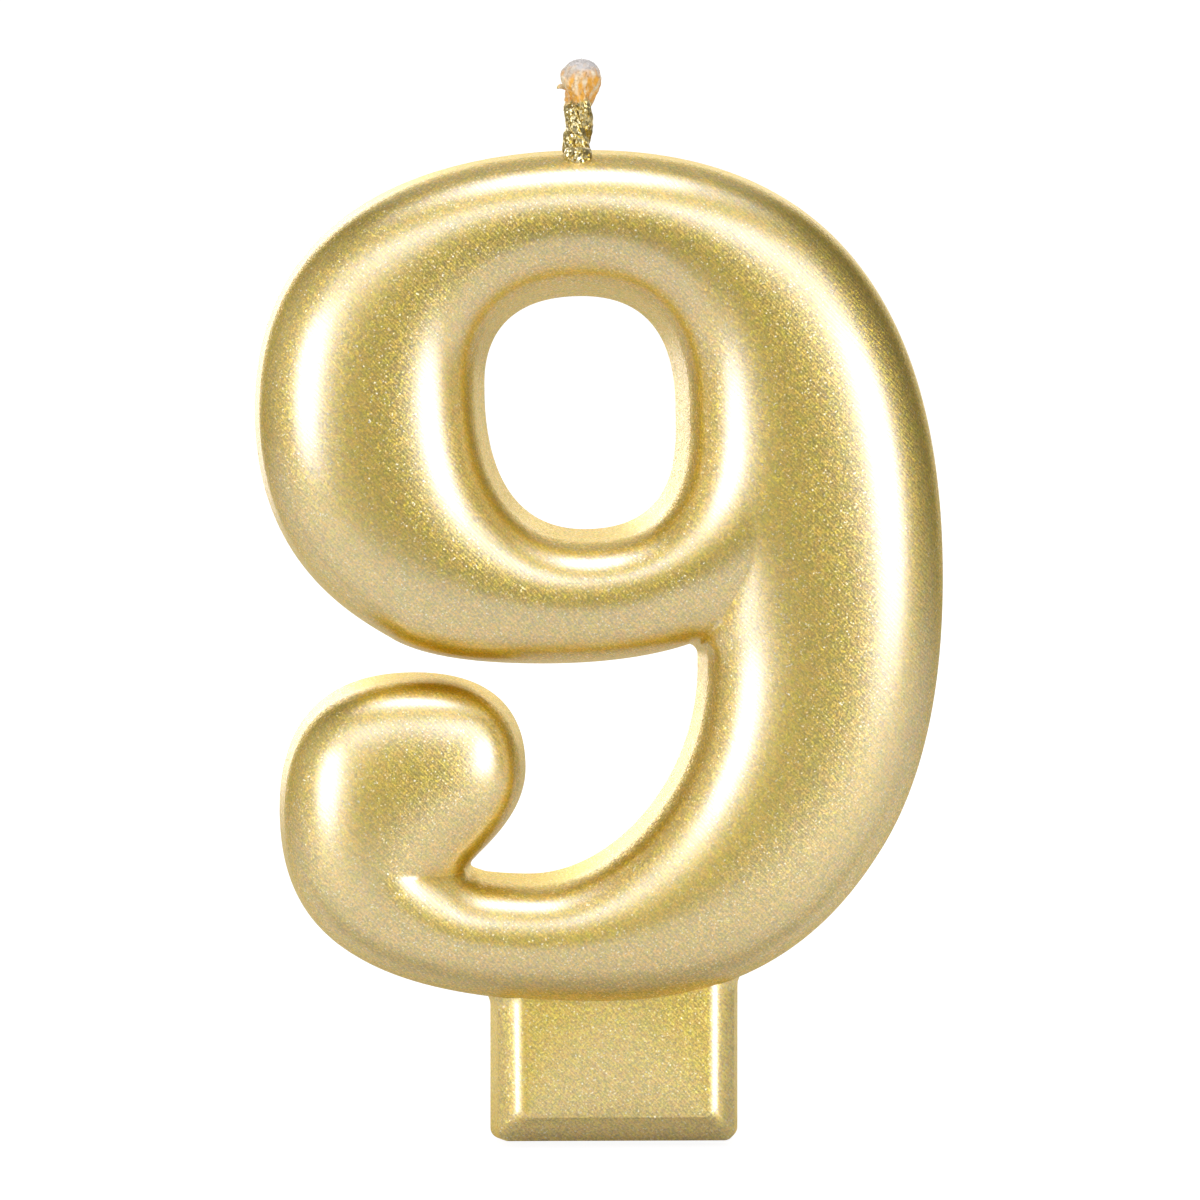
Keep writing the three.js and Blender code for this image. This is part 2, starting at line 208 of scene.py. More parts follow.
# %% Rings and the smooth distance
def moved_in(edge, distance):
    """The closed edge moved by distance along its left-hand normal, which points into the wax."""
    along = np.roll(edge, -1, 0) - np.roll(edge, 1, 0)
    along /= np.hypot(*along.T)[:, None]
    return edge + distance * np.stack([-along[:, 1], along[:, 0]], -1)


def edge_pull(points, a, b, weight=1.0, chunk=2000):
    """Sum over the straight bits a to b of weight times the integral of 1/r^3 along the bit, which is (far end's sine
    - near end's sine) / offset^2."""
    length = np.hypot(*(b - a).T)
    u = (b - a) / length[:, None]
    result = np.empty(len(points))
    for first in range(0, len(points), chunk):
        p = points[first:first + chunk, None] - a[None]
        near = p[..., 0] * u[:, 0] + p[..., 1] * u[:, 1]
        offset = np.maximum(np.abs(p[..., 0] * u[:, 1] - p[..., 1] * u[:, 0]), 1e-4)
        ahead = length - near
        sines = ahead / np.hypot(ahead, offset) + near / np.hypot(near, offset)
        result[first:first + chunk] = (weight * sines / offset ** 2).sum(1)
    return result


# each stroke's edge carried on past the notch, into the other stroke: four control points in units of the drawing
carried_on = [
    (((115, 417), (119, 450), (126, 486), (143, 547)), ((106, 421), (150, 437), (198, 476), (250, 534))),
    (((-150, 166), (-168, 150), (-190, 138), (-225, 135)), ((-148, 158), (-170, 162), (-195, 172), (-220, 195))),
]


def crease_pull(points):
    """An edge that is carried on pulls less and less, by 1 - s^2. Of a notch's two, the weaker pull counts at each
    point, and where they are equal the surface has a crease that runs out into the wax."""
    total = np.zeros(len(points))
    for pair in carried_on:
        pulls = []
        for curve in pair:
            line = cubic(*curve, count=40)
            fade = 1 - np.linspace(0, 1, len(line) - 1) ** 2
            pulls.append(edge_pull(points, line[:-1], line[1:], fade))
        total += np.minimum(*pulls)
    return total


def smooth_distance(points, edges):
    """1 / sqrt(pull / 2): for one straight edge that is the distance itself, and between two it is rounded off."""
    a = np.concatenate(edges)
    b = np.concatenate([np.roll(edge, -1, 0) for edge in edges])
    return 1 / np.sqrt((edge_pull(points, a, b) + crease_pull(points)) / 2)


def inside(points, edges, chunk=4000):
    """True where a ray to the right crosses the edges an odd number of times."""
    a = np.concatenate(edges)
    b = np.concatenate([np.roll(edge, -1, 0) for edge in edges])
    result = np.empty(len(points), bool)
    for first in range(0, len(points), chunk):
        x, y = points[first:first + chunk, 0, None], points[first:first + chunk, 1, None]
        spans = (a[:, 1] > y) != (b[:, 1] > y)
        cross = a[:, 0] + (y - a[:, 1]) * (b[:, 0] - a[:, 0]) / np.where(b[:, 1] == a[:, 1], 1e-12, b[:, 1] - a[:, 1])
        result[first:first + chunk] = (spans & (x < cross)).sum(1) % 2 == 1
    return result


# %% [markdown]
# The height of the face over the wall's front edge is the sum of two curves that rise and level out: a small quick
# one, which is the steep step that the mould leaves at the parting edge, and a broad one for shoulder and dome.


# %% Height of the face
step_rise, step_reach = 1.15, 0.42
dome_rise, dome_reach = 4.85, 4.1


def face_height(distance):
    """Height over the back: wall + step * (1 - e^(-d/step reach)) + dome * (1 - e^(-d/dome reach))."""
    step = step_rise * (1 - np.exp(-distance / step_reach))
    dome = dome_rise * (1 - np.exp(-distance / dome_reach))
    return wall_depth + step + dome


def relief(points):
    """Height of the face at points between the edges."""
    return face_height(smooth_distance(points, wall_edges))


shoulder = np.array([0.03, 0.07, 0.12, 0.18, 0.26, 0.36, 0.5, 0.68, 0.9, 1.15, 1.45, 1.8, 2.15])
back_edges = [outer_edge, counter_edge]
insets = [wall_inset, counter_inset]
wall_edges = [moved_in(edge, inset) for edge, inset in zip(back_edges, insets)]
print("shoulder heights in mm:", np.round(face_height(shoulder[::3]), 2))

# %% [markdown]
# ## The wax casting
#
# Rings of quads make the wall and the shoulder. The face inside the last ring is an even triangular lattice, joined
# to the ring by a Delaunay triangulation. The back is closed the same way, with no lattice, because it is flat.


# %% Triangles between edges
def fill(edges, lattice):
    """Delaunay triangles over the edges' points and the lattice's, kept where their middle lies between the edges."""
    points = np.concatenate([*edges, lattice])
    sides, first = [], 0
    for edge in edges:
        i = np.arange(len(edge))
        sides.append(first + np.stack([i, np.roll(i, -1)], -1))
        first += len(edge)
    sides = np.concatenate(sides)
    out = delaunay_2d_cdt([Vector(p) for p in points.tolist()], sides.tolist(), [], 0, 1e-7)
    found = np.array([tuple(p) for p in out[0]])
    assert len(found) == len(points) and np.allclose(found, points, atol=1e-5), "the triangulation moved a point"
    faces = np.array([tuple(face) for face in out[2] if len(face) == 3])
    a, b, c = (points[faces[:, k]] for k in range(3))
    turn = (b[:, 0] - a[:, 0]) * (c[:, 1] - a[:, 1]) - (b[:, 1] - a[:, 1]) * (c[:, 0] - a[:, 0])
    faces[turn < 0] = faces[turn < 0][:, ::-1]
    keep = inside((a + b + c) / 3, edges) & (np.abs(turn) > 1e-9)
    return faces[keep]


def lattice_within(edges, spacing):
    """Points of an even triangular lattice that lie between the edges, at least 0.6 of a spacing away from them."""
    low, high = edges[0].min(0), edges[0].max(0)
    rows = np.arange(low[1], high[1], spacing * math.sqrt(3) / 2)
    columns = np.arange(low[0], high[0], spacing)
    x = columns[None] + (np.arange(len(rows)) % 2)[:, None] * spacing / 2
    grid = np.stack([x, np.broadcast_to(rows[:, None], x.shape)], -1).reshape(-1, 2)
    grid = grid[inside(grid, edges)]
    return grid[smooth_distance(grid, edges) > 0.6 * spacing]


# %% Rings, face and back of the numeral
def casting_rings(edge, inset):
    """All rings of one edge, from the back forwards: four up the wall, then the shoulder's."""
    rows = []
    for share in (0.0, 0.33, 0.66, 1.0):
        ring = moved_in(edge, inset * share)
        rows.append(np.column_stack([ring, np.full(len(ring), wall_depth * share)]))
    for distance in shoulder:
        ring = moved_in(edge, inset + distance)
        rows.append(np.column_stack([ring, relief(ring)]))
    return np.array(rows)


rings = [casting_rings(edge, inset) for edge, inset in zip(back_edges, insets)]
last_edges = [ring[-1, :, :2] for ring in rings]
lattice = lattice_within(last_edges, 0.34)
lattice = np.column_stack([lattice, relief(lattice)])
counts = [len(edge) for edge in back_edges]
levels = len(rings[0])
starts = [0, levels * counts[0]]
lattice_start = starts[1] + levels * counts[1]


def to_mesh_index(faces, level):
    """Renumbers the triangles of fill: edge points become the points of that level's rings, the rest the lattice."""
    table = np.concatenate([starts[e] + level * counts[e] + np.arange(counts[e]) for e in (0, 1)]
                           + [lattice_start + np.arange(len(lattice))])
    return table[faces]


face_triangles = to_mesh_index(fill(last_edges, lattice[:, :2]), levels - 1)
back_triangles = to_mesh_index(fill(back_edges, np.zeros((0, 2))), 0)[:, ::-1]
numeral_points = np.concatenate([rings[0].reshape(-1, 3), rings[1].reshape(-1, 3), lattice])
numeral_faces = [*ring_quads(levels, counts[0], starts[0]), *ring_quads(levels, counts[1], starts[1]),
                 *face_triangles, *back_triangles]
numeral = piece("gold_numeral", stand_up(numeral_points), numeral_faces, 32)
print("numeral:", len(numeral_points), "points, face up to", round(float(lattice[:, 2].max()), 2), "mm")

# %% [markdown]
# ## The tab
#
# The tab is a block with a sloping band round its face, which leans back a little towards the numeral. Its wall
# leans in as the numeral's does, its lower corners are round and its sides flare out into the numeral.


# %% Tab outline and its rings
def underside(x):
    """Height of the numeral's lower edge at x, from the sampled outline."""
    low = outer_edge[outer_edge[:, 1] < 10]
    low = low[np.argsort(low[:, 0])]
    return float(np.interp(x, low[:, 0], low[:, 1]))


def tab_outline():
    """Straight sides, quarter-circle lower corners and small flares where the sides meet the numeral."""
    half, foot, corner, flare = tab_width / 2, -tab_height, 0.9, 0.8
    right, left = underside(tab_offset + half), underside(tab_offset - half)
    quarter = np.linspace(0, np.pi / 2, 9)
    arc = np.stack([np.sin(quarter), 1 - np.cos(quarter)], -1) * corner
    t = np.linspace(0, 1, 7)[:, None]

    def bend(a, b, c):
        return (1 - t) ** 2 * np.array(a) + 2 * (1 - t) * t * np.array(b) + t * t * np.array(c)

    right_corner = arc + [half - corner, foot]
    left_corner = right_corner[::-1] * [-1, 1]
    right_flare = bend((half, right - flare), (half, right), (half + flare, right + flare))
    left_flare = bend((-half - flare, left + flare), (-half, left), (-half, left - flare))
    top = [[half - 1, tab_root], [1 - half, tab_root]]
    points = np.concatenate([right_corner, right_flare, top, left_flare, left_corner])
    return even_steps(points, 0.3, 2.0) + [tab_offset, 0]


foot_depth, rim_depth, band_rise = 7.9, 6.8, 1.35
tab_edge = tab_outline()


def tab_ring(sides, foot, height):
    """The tab's outline with its sides and its foot drawn in, while its root inside the numeral stays. Heights shrink
    from foot_depth at the foot to rim_depth at the numeral's edge. The root lies root_gap in front of the numeral's
    back, so that the two backs don't share a plane."""
    root_gap = 0.06
    x = tab_offset + (tab_edge[:, 0] - tab_offset) * (1 - sides / (tab_width / 2))
    towards_root = (tab_edge[:, 1] + tab_height) / (tab_root + tab_height)
    y = tab_edge[:, 1] + foot * (1 - towards_root)
    depth = rim_depth + (foot_depth - rim_depth) * -y / tab_height
    return np.column_stack([x, y, height * depth / foot_depth + root_gap * towards_root])


# how far the sides and the foot have come in at each height of the band, over the wall's front edge
band = [(0.04, 0.04, 0.03), (1.12, 1.38, 0.85), (1.35, 1.66, 1.02), (1.61, 1.87, 1.15), (1.87, 2.00, 1.24),
        (2.11, 2.05, 1.288), (2.32, 2.08, 1.30)]
tab_wall = foot_depth - band_rise
lean = tab_wall * math.tan(draft)
rows = [(0, 0, 0), (lean * 0.5, lean * 0.5, tab_wall * 0.5), (lean, lean, tab_wall - 0.06)]
rows += [(lean + side, lean + foot, tab_wall + height) for side, foot, height in band]
tab_rings = np.array([tab_ring(*row) for row in rows])
tab_count = len(tab_edge)
tab_caps = fill([tab_edge], np.zeros((0, 2)))
tab_faces = [*ring_quads(len(rows), tab_count), *(tab_caps + (len(rows) - 1) * tab_count), *tab_caps[:, ::-1]]
tab = piece("gold_tab", stand_up(tab_rings.reshape(-1, 3)), tab_faces, 50)
print("tab:", tab_count, "points round,", len(rows), "rings")

# %% [markdown]
# ## The wick
#
# Three plies of cotton wind round each other. Each ply is a tube along a helix, and its own strands show as fine
# ridges that wind the other way. Towards the cut end the plies open into a lumpy bulb, with one loose fibre at its
# left. In front of the wick's foot stands a small drip of the lacquer.

# %% Plies
wick_foot = numeral_height
standing = 7.35
buried = 9.5
lay = 9.0


def ply(which, around=28, steps=260):
    """One ply: centre on a helix of radius 0.56 that opens to 0.86 in the bulb, and a round section with fine ridges
    that turn against the ply, drawn in to a small flat end at the top."""
    t = np.linspace(0, 1, steps)[:, None]
    y = t * (buried + standing)
    free = np.clip((y - buried) / standing, 0, 1)
    bulb = np.exp(-((free - 0.78) / 0.17) ** 2)
    turn = 2 * np.pi * (y / lay + which / 3 + 0.08)
    reach = 0.56 + 0.30 * bulb
    angle = np.linspace(0, 2 * np.pi, around, endpoint=False)[None]
    ridges = 1 + 0.05 * np.cos(7 * angle + 2 * np.pi * y / 1.7) + 0.03 * np.cos(5 * angle - 2 * np.pi * y / 1.1)
    close = np.sqrt(np.clip(1 - ((free - 0.82) / 0.16) ** 2, 0, 1)) * (free > 0.82) + (free <= 0.82)
    size = (0.68 + 0.24 * bulb) * ridges * np.maximum(close, 0.02)
    x = wick_lean(free) + reach * np.cos(turn) * close + size * np.cos(angle)
    z = reach * np.sin(turn) * close - size * np.sin(angle)
    return np.stack([x + wick_offset, np.broadcast_to(y, x.shape) + wick_foot - buried, z + wick_from_back], -1)


def wick_lean(free):
    """Sideways shift of the wick's axis: 0.2 to the left at the wax, and 0.35 to the right of that at the top."""
    return 0.35 * free ** 2 * (3 - 2 * free) - 0.2


def turned(profile, lumps, forwards=0.0, around=40):
    """A lumpy solid of revolution about the wick's axis or one in front of it; profile holds rows of height over the
    wax and radius."""
    angle = np.linspace(0, 2 * np.pi, around, endpoint=False)[None]
    height, radius = np.array(profile, float).T[..., None]
    wobble = 1 + lumps * (np.cos(3 * angle + 1.3 * height) + 0.6 * np.cos(5 * angle - 2.1 * height + 1))
    x = wick_lean(np.clip(height / standing, 0, 1)) + radius * wobble * np.cos(angle)
    z = forwards - radius * wobble * np.sin(angle)
    y = np.broadcast_to(height + wick_foot, x.shape)
    return np.stack([x + wick_offset, y, z + wick_from_back], -1)


def fibre(start, end, radius, around=10, steps=14):
    """A short curved fibre between two points, thickest near its loose end."""
    t = np.linspace(0, 1, steps)[:, None]
    start, end = np.array(start, float), np.array(end, float)
    centre = start + (end - start) * t + np.array([0, 0.18, 0]) * np.sin(np.pi * t)
    angle = np.linspace(0, 2 * np.pi, around, endpoint=False)[None]
    size = radius * (0.6 + 0.5 * t ** 2) * np.sqrt(np.clip(1 - ((t - 0.85) / 0.15) ** 2 * (t > 0.85), 0.001, 1))
    x = centre[:, :1] + size * np.cos(angle) * 0.5
    y = centre[:, 1:2] + size * np.cos(angle) * 0.85
    z = centre[:, 2:] - size * np.sin(angle)
    return np.stack([x, y, z], -1)


def tubes(parts):
    """Points and faces of tubes, each given as rings of points and closed at both ends."""
    points, faces, first = [], [], 0
    for part in parts:
        steps, around = part.shape[:2]
        last = first + (steps - 1) * around
        points.append(part.reshape(-1, 3))
        faces += [*ring_quads(steps, around, first), first + np.arange(around)[::-1], last + np.arange(around)]
        first += steps * around
    return np.concatenate(points), faces


# height over the wax and radius of the bulb and of the drip at the foot
bulb_rows = [(3.8, 0.3), (4.2, 0.9), (4.7, 1.25), (5.3, 1.50), (5.9, 1.58), (6.35, 1.5), (6.7, 1.30), (7.0, 1.0),
             (7.2, 0.6), (7.28, 0.1)]
drip_rows = [(-2.0, 0.8), (-1.5, 1.1), (-1.0, 1.2), (-0.5, 1.18), (-0.2, 1.05), (-0.05, 0.8)]
loose = fibre((-2.5, 75.6, 5.6), (-3.7, 76.1, 6.0), 0.26)
wick_points, wick_faces = tubes([ply(0), ply(1), ply(2), turned(bulb_rows, 0.02), loose])
wick = piece("cotton_wick", stand_up(wick_points), wick_faces, 60)
drip_points, drip_faces = tubes([turned(drip_rows, 0.03, 1.45)])
drip = piece("wick_collar", stand_up(drip_points), drip_faces, 60)
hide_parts("wax_numeral")
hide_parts("wick")
print("wick:", len(wick_points), "points")

# %% [markdown]
# ## Camera
#
# The photograph looks almost straight at the numeral, from a little to its left and a little above: the thin bands
# of side wall that show are wider on the left-facing and up-facing sides. A long lens about half a metre away
# gives the bands their width.

# %% Camera
azimuth, elevation, distance = math.radians(-1.7), math.radians(2.1), 0.51
frame_width = 1200 * 0.0835 * mm
aim = Vector((-1.17 * mm, 4 * mm, 45.1 * mm))
away = Vector((math.sin(azimuth) * math.cos(elevation), -math.cos(azimuth) * math.cos(elevation), math.sin(elevation)))
camera_data = bpy.data.cameras.new("photo_camera")
camera_data.sensor_width = 36
camera_data.lens = camera_data.sensor_width * distance / frame_width
camera_data.clip_start = 0.01
camera = bpy.data.objects.new("photo_camera", camera_data)
camera.location = aim + away * distance
camera.rotation_euler = away.to_track_quat("Z", "Y").to_euler()
bpy.context.scene.collection.objects.link(camera)
bpy.context.scene.camera = camera
print("lens:", round(camera_data.lens, 1), "mm at", round(distance * 1000), "mm")

# %% [markdown]
# ## Shared effects as node groups
#
# The lacquer shows in three places, so what makes it up is built once. One group tilts the normal of each small
# cell by a random amount, as flakes lie in lacquer. The other makes the fine slanting marks that the cutter left
# in the mould. Both put out values only, and the shader stays in each material.


# %% Node helpers
def add(tree, kind, **values):
    """A node of that kind, with its properties or input sockets set by name."""
    node = tree.nodes.new(kind)
    for key, value in values.items():
        if hasattr(node, key):
            setattr(node, key, value)
        else:
            node.inputs[key.replace("_", " ")].default_value = value
    return node


def ranged(tree, from_min, from_max, to_min=0.0, to_max=1.0):
    """A Map Range node: from_min to from_max becomes to_min to to_max, and values beyond are held at the ends."""
    return add(tree, "ShaderNodeMapRange", From_Min=from_min, From_Max=from_max, To_Min=to_min, To_Max=to_max)


def colour_mix(tree, first=None, second=None):
    """A mix of two colours by its Factor. A colour that isn't given comes in through a link."""
    node = add(tree, "ShaderNodeMix", data_type="RGBA")
    for socket, colour in (("A", first), ("B", second)):
        if colour:
            node.inputs[socket].default_value = (*colour, 1)
    return node


def wire(tree, rows):
    """Links, one for each row: node and output that it comes from, node and input that it goes to."""
    for source, output, target, socket in rows:
        tree.links.new(source.outputs[output], target.inputs[socket])


def new_group(name, inputs, outputs):
    """An empty group with its sockets, and its input and output nodes."""
    tree = bpy.data.node_groups.new(name, "ShaderNodeTree")
    for socket, kind, value in inputs:
        made = tree.interface.new_socket(socket, in_out="INPUT", socket_type=kind)
        if value is not None:
            made.default_value = value
    for socket, kind in outputs:
        tree.interface.new_socket(socket, in_out="OUTPUT", socket_type=kind)
    return tree, tree.nodes.new("NodeGroupInput"), tree.nodes.new("NodeGroupOutput")


def use_group(tree, group, **values):
    """The group placed in a material, with its inputs set by name."""
    node = tree.nodes.new("ShaderNodeGroup")
    node.node_tree = group
    for key, value in values.items():
        node.inputs[key.replace("_", " ")].default_value = value
    return node


# %% Flakes in the lacquer
def flake_group():
    """Each Voronoi cell gets one random vector; normal + tilt * (vector - 0.5), made unit length again."""
    tree, start, end = new_group(
        "lacquer flakes",
        [("Cells per Metre", "NodeSocketFloat", 8000.0), ("Tilt", "NodeSocketFloat", 0.3),
         ("Normal", "NodeSocketVector", None)],
        [("Normal", "NodeSocketVector"), ("Glint", "NodeSocketFloat")])
    place = add(tree, "ShaderNodeTexCoord")
    cells = add(tree, "ShaderNodeTexVoronoi", feature="F1")
    centre = add(tree, "ShaderNodeVectorMath", operation="SUBTRACT")
    centre.inputs[1].default_value = (0.5, 0.5, 0.5)
    scaled = add(tree, "ShaderNodeVectorMath", operation="SCALE")
    total = add(tree, "ShaderNodeVectorMath", operation="ADD")
    unit_length = add(tree, "ShaderNodeVectorMath", operation="NORMALIZE")
    split = add(tree, "ShaderNodeSeparateColor")
    wire(tree, [
        (place, "Object", cells, "Vector"), (start, "Cells per Metre", cells, "Scale"), (cells, "Color", centre, 0),
        (centre, 0, scaled, 0), (start, "Tilt", scaled, "Scale"), (start, "Normal", total, 0),
        (scaled, 0, total, 1), (total, 0, unit_length, 0), (unit_length, 0, end, "Normal"),
        (cells, "Color", split, 0), (split, 0, end, "Glint"),
    ])
    return tree


# %% Marks of the cutter
def mark_group():
    """Height of parallel grooves: a sine across the slant, broken up by noise stretched along it."""
    tree, start, end = new_group(
        "cutter marks",
        [("Pitch", "NodeSocketFloat", 0.00028), ("Break up", "NodeSocketFloat", 0.5)],
        [("Height", "NodeSocketFloat")])
    place = add(tree, "ShaderNodeTexCoord")
    slant = add(tree, "ShaderNodeMapping")
    slant.inputs["Rotation"].default_value = (0, math.radians(45), 0)
    parts = add(tree, "ShaderNodeSeparateXYZ")
    across = add(tree, "ShaderNodeMath", operation="DIVIDE")
    wave = add(tree, "ShaderNodeMath", operation="SINE")
    turns = add(tree, "ShaderNodeMath", operation="MULTIPLY")
    turns.inputs[1].default_value = 2 * math.pi
    noise = add(tree, "ShaderNodeTexNoise", Scale=900.0, Detail=3.0, Roughness=0.6)
    stretch = add(tree, "ShaderNodeMapping")
    stretch.inputs["Scale"].default_value = (3.0, 1.0, 0.5)
    mixed = add(tree, "ShaderNodeMath", operation="MULTIPLY_ADD")
    phase = add(tree, "ShaderNodeMath", operation="MULTIPLY_ADD")
    phase.inputs[1].default_value = 11.0
    wire(tree, [
        (place, "Object", slant, "Vector"), (slant, 0, parts, 0), (parts, 0, across, 0),
        (start, "Pitch", across, 1), (across, 0, turns, 0), (slant, 0, stretch, "Vector"),
        (stretch, 0, noise, "Vector"), (noise, 0, phase, 0), (turns, 0, phase, 2), (phase, 0, wave, 0),
        (noise, 0, mixed, 0), (start, "Break up", mixed, 1), (wave, 0, mixed, 2), (mixed, 0, end, "Height"),
    ])
    return tree


flakes = flake_group()
cutter_marks = mark_group()
print("groups:", flakes.name, "and", cutter_marks.name)

# %% [markdown]
# ## Gold lacquer
#
# The lacquer is a layer of bright flakes under a clear coat, so most of what it shows is a rough metal, and the
# soft boxes show white in the coat. A plain yellow plastic would stay yellow in its highlights. The coat is thin
# where the surface turns to the side, which keeps the rims a deep gold.


# %% Gold material
def gold_lacquer(name, tilt, marks, light=1.0):
    """Metal between a greenish and a reddish gold, sprinkled with bright flakes, under a clear coat that the cutter
    marks make stronger and weaker. tilt spreads the flakes, marks raises the grooves and light scales the colour, which
    above 1 is painted light: a lighter copy of the gold."""
    material = bpy.data.materials.new(name)
    material.use_nodes = True
    tree = material.node_tree
    shader = tree.nodes["Principled BSDF"]
    shader.inputs["Metallic"].default_value = 1.0
    shader.inputs["Roughness"].default_value = 0.44
    shader.inputs["Coat Roughness"].default_value = 0.30
    shader.inputs["Coat IOR"].default_value = 3.8
    place = add(tree, "ShaderNodeTexCoord")
    cloud = add(tree, "ShaderNodeTexNoise", Scale=1500.0, Detail=2.0, Roughness=0.6)
    hue = colour_mix(tree, (0.70, 0.545, 0.006), (0.82, 0.530, 0.030))
    spread = ranged(tree, 0.35, 0.65)
    darker = ranged(tree, 0.0, 1.0, 0.80, 1.15)
    shaded = add(tree, "ShaderNodeVectorMath", operation="SCALE")
    bright = ranged(tree, 0.95, 1.0)
    colour = colour_mix(tree, None, (1.0, 0.93, 0.62))
    coat = ranged(tree, -0.6, 1.6, 0.72, 1.0)
    mottle = add(tree, "ShaderNodeTexNoise", Scale=5200.0, Detail=1.0)
    # the mottle's blotches, scaled by light, which above 1 paints the gold lighter: painted light
    blotch_and_painted_light = ranged(tree, 0.32, 0.68, 0.78 * light, 1.22 * light)
    both = add(tree, "ShaderNodeMath", operation="MULTIPLY")
    surface = add(tree, "ShaderNodeNewGeometry")
    facing = add(tree, "ShaderNodeSeparateXYZ")
    forwards = add(tree, "ShaderNodeMath", operation="ABSOLUTE")
    thin = ranged(tree, 0.10, 0.70, 0.15, 1.0)
    layer = add(tree, "ShaderNodeMath", operation="MULTIPLY")
    marks_node = use_group(tree, cutter_marks)
    bump = add(tree, "ShaderNodeBump", Strength=marks, Distance=0.00001)
    fine = use_group(tree, flakes, Cells_per_Metre=9500.0, Tilt=tilt)
    wire(tree, [
        (place, "Object", cloud, "Vector"), (cloud, 0, spread, "Value"), (spread, 0, hue, "Factor"),
        (fine, "Glint", darker, "Value"), (hue, "Result", shaded, 0), (place, "Object", mottle, "Vector"),
        (mottle, 0, blotch_and_painted_light, "Value"), (darker, 0, both, 0), (blotch_and_painted_light, 0, both, 1), (both, 0, shaded, "Scale"),
        (fine, "Glint", bright, "Value"), (bright, 0, colour, "Factor"), (shaded, 0, colour, "A"),
        (colour, "Result", shader, "Base Color"), (marks_node, "Height", coat, "Value"),
        (surface, "Normal", facing, 0), (facing, 1, forwards, 0), (forwards, 0, thin, "Value"), (coat, 0, layer, 0),
        (thin, 0, layer, 1), (layer, 0, shader, "Coat Weight"), (marks_node, "Height", bump, "Height"),
        (bump, 0, fine, "Normal"), (fine, "Normal", shader, "Normal"),
    ])
    return material


gold = gold_lacquer("gold lacquer", 0.36, 0.5)
numeral.data.materials.append(gold)
# the tab's copy of the gold is painted 1.18 times lighter: painted light for the brighter reflection on its flat face
tab.data.materials.append(gold_lacquer("tab lacquer painted lighter", 0.36, 0.5, 1.18))
print("materials:", gold.name)

# %% [markdown]
# ## Cotton wick
#
# The lower part of the wick was dipped in the lacquer with the candle, and the cut end is bare cotton. A mask that
# follows the height, made uneven by noise, changes one into the other.


# %% Cotton material
def wick_material():
    """Pale cotton, orange in streaks further down, with lumps of gold lacquer below an uneven line and at the loose
    fibre's tip."""
    material = bpy.data.materials.new("dipped cotton")
    material.use_nodes = True
    tree = material.node_tree
    shader = tree.nodes["Principled BSDF"]
    shader.inputs["Sheen Weight"].default_value = 0.15
    place = add(tree, "ShaderNodeTexCoord")
    parts = add(tree, "ShaderNodeSeparateXYZ")
    uneven = add(tree, "ShaderNodeTexNoise", Scale=1400.0, Detail=3.0)
    shifted = add(tree, "ShaderNodeMath", operation="MULTIPLY_ADD")
    shifted.inputs[1].default_value = 0.0022
    line = ranged(tree, 0.0878, 0.0872)
    tip = ranged(tree, -0.00465, -0.00485)
    coated = add(tree, "ShaderNodeMath", operation="MAXIMUM")
    warm = ranged(tree, 0.0904, 0.0892)
    cotton_shade = colour_mix(tree, (0.66, 0.61, 0.49))
    strands = add(tree, "ShaderNodeTexNoise", Scale=1000.0, Detail=2.0)
    slant = add(tree, "ShaderNodeMapping")
    slant.inputs["Rotation"].default_value = (0, math.radians(-38), 0)
    slant.inputs["Scale"].default_value = (1.8, 1.8, 0.6)
    streak = ranged(tree, 0.38, 0.55)
    orange = colour_mix(tree, (0.96, 0.78, 0.44), (0.95, 0.46, 0.05))
    lacquer = colour_mix(tree, (0.45, 0.30, 0.03), (1.0, 0.88, 0.45))
    colour = colour_mix(tree)
    rough = ranged(tree, 0.0, 1.0, 0.85, 0.28)
    surface = add(tree, "ShaderNodeNewGeometry")
    sparkle = use_group(tree, flakes, Cells_per_Metre=5500.0, Tilt=0.95)
    wire(tree, [
        (place, "Object", slant, "Vector"), (slant, 0, strands, "Vector"), (strands, 0, streak, "Value"),
        (streak, 0, orange, "Factor"), (orange, "Result", cotton_shade, "B"), (sparkle, "Glint", lacquer, "Factor"),
        (lacquer, "Result", colour, "B"), (place, "Object", parts, 0), (place, "Object", uneven, "Vector"),
        (uneven, 0, shifted, 0), (parts, 2, shifted, 2), (shifted, 0, line, "Value"), (shifted, 0, warm, "Value"),
        (warm, 0, cotton_shade, "Factor"), (parts, 0, tip, "Value"), (line, 0, coated, 0), (tip, 0, coated, 1),
        (coated, 0, colour, "Factor"), (cotton_shade, "Result", colour, "A"),
        (colour, "Result", shader, "Base Color"), (coated, 0, shader, "Metallic"), (coated, 0, rough, "Value"),
        (rough, 0, shader, "Roughness"), (surface, "Normal", sparkle, "Normal"),
        (sparkle, "Normal", shader, "Normal"),
    ])
    return material


cotton = wick_material()
wick.data.materials.append(cotton)
drip.data.materials.append(cotton)
print("materials:", [material.name for material in bpy.data.materials])

# %% [markdown]
# ## Light and ground
#
# Gold shows what stands round it, so where the lamps stand matters more than how strong they are. Tall soft boxes
# left and right give the white bands on the shoulders, and a flat one overhead gives the band along the top. Wide
# weak ones round them soften the bands' edges. Those behind the candle light its side walls. The lamps are a little
# blue, which makes the highlights white on a yellow metal.


